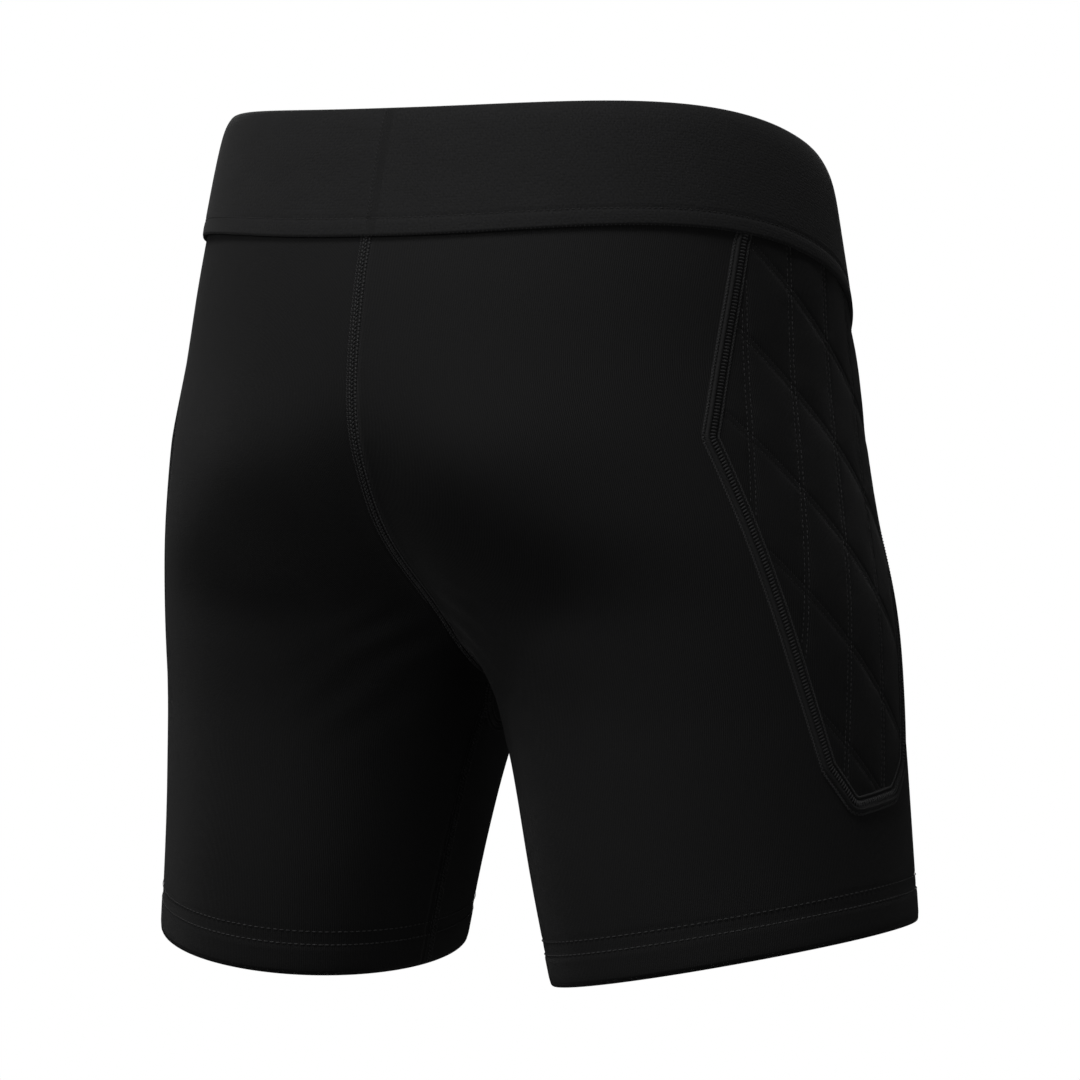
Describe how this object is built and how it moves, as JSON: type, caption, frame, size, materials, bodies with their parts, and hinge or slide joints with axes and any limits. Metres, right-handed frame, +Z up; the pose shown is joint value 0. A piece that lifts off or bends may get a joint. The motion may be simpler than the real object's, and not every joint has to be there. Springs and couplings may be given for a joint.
{
  "type": "padded impact shorts",
  "caption": "Close-fitting padded impact shorts: wide elastic waistband, quilted foam hip and thigh pads, flatlock seams, front pouch and crotch gusset, turned-up hems.",
  "frame": {"origin": "middle of the waist opening, level with the top edge of the waistband at the two hips", "axes": "+Z up, -Y towards the front of the shorts, +Y towards the seat, wearer's right at -X"},
  "size_m": [0.4096, 0.2756, 0.4218],
  "materials": {
    "jersey": "black stretch polyester-elastane jersey, matt with a slight sheen",
    "elastic": "black brushed woven elastic, fine lengthwise ribs",
    "piping": "black jersey binding, corded",
    "thread": "black spun polyester thread",
    "lining_mesh": "black knitted mesh lining",
    "foam": "dark closed-cell foam"
  },
  "bodies": {
    "root": {"left_body_panel": "jersey", "right_body_panel": "jersey", "left_hip_cover": "jersey", "right_hip_cover": "jersey", "left_hip_foam": "foam", "right_hip_foam": "foam", "left_hip_lining": "lining_mesh", "right_hip_lining": "lining_mesh", "left_hip_piping": "piping", "right_hip_piping": "piping", "left_hip_seam_stitching": "thread", "right_hip_seam_stitching": "thread", "left_hip_quilting": "thread", "right_hip_quilting": "thread", "left_front_seam": "thread", "right_front_seam": "thread", "left_inseam": "thread", "right_inseam": "thread", "left_hem_stitching": "thread", "right_hem_stitching": "thread", "waistband": "elastic", "band_attachment_stitching": "thread", "band_join_stitching": "thread", "front_pouch_outer": "jersey", "front_pouch_lining": "lining_mesh", "crotch_gusset": "jersey", "gusset_seam": "thread", "centre_back_seam": "thread"}
  },
  "joints": []
}
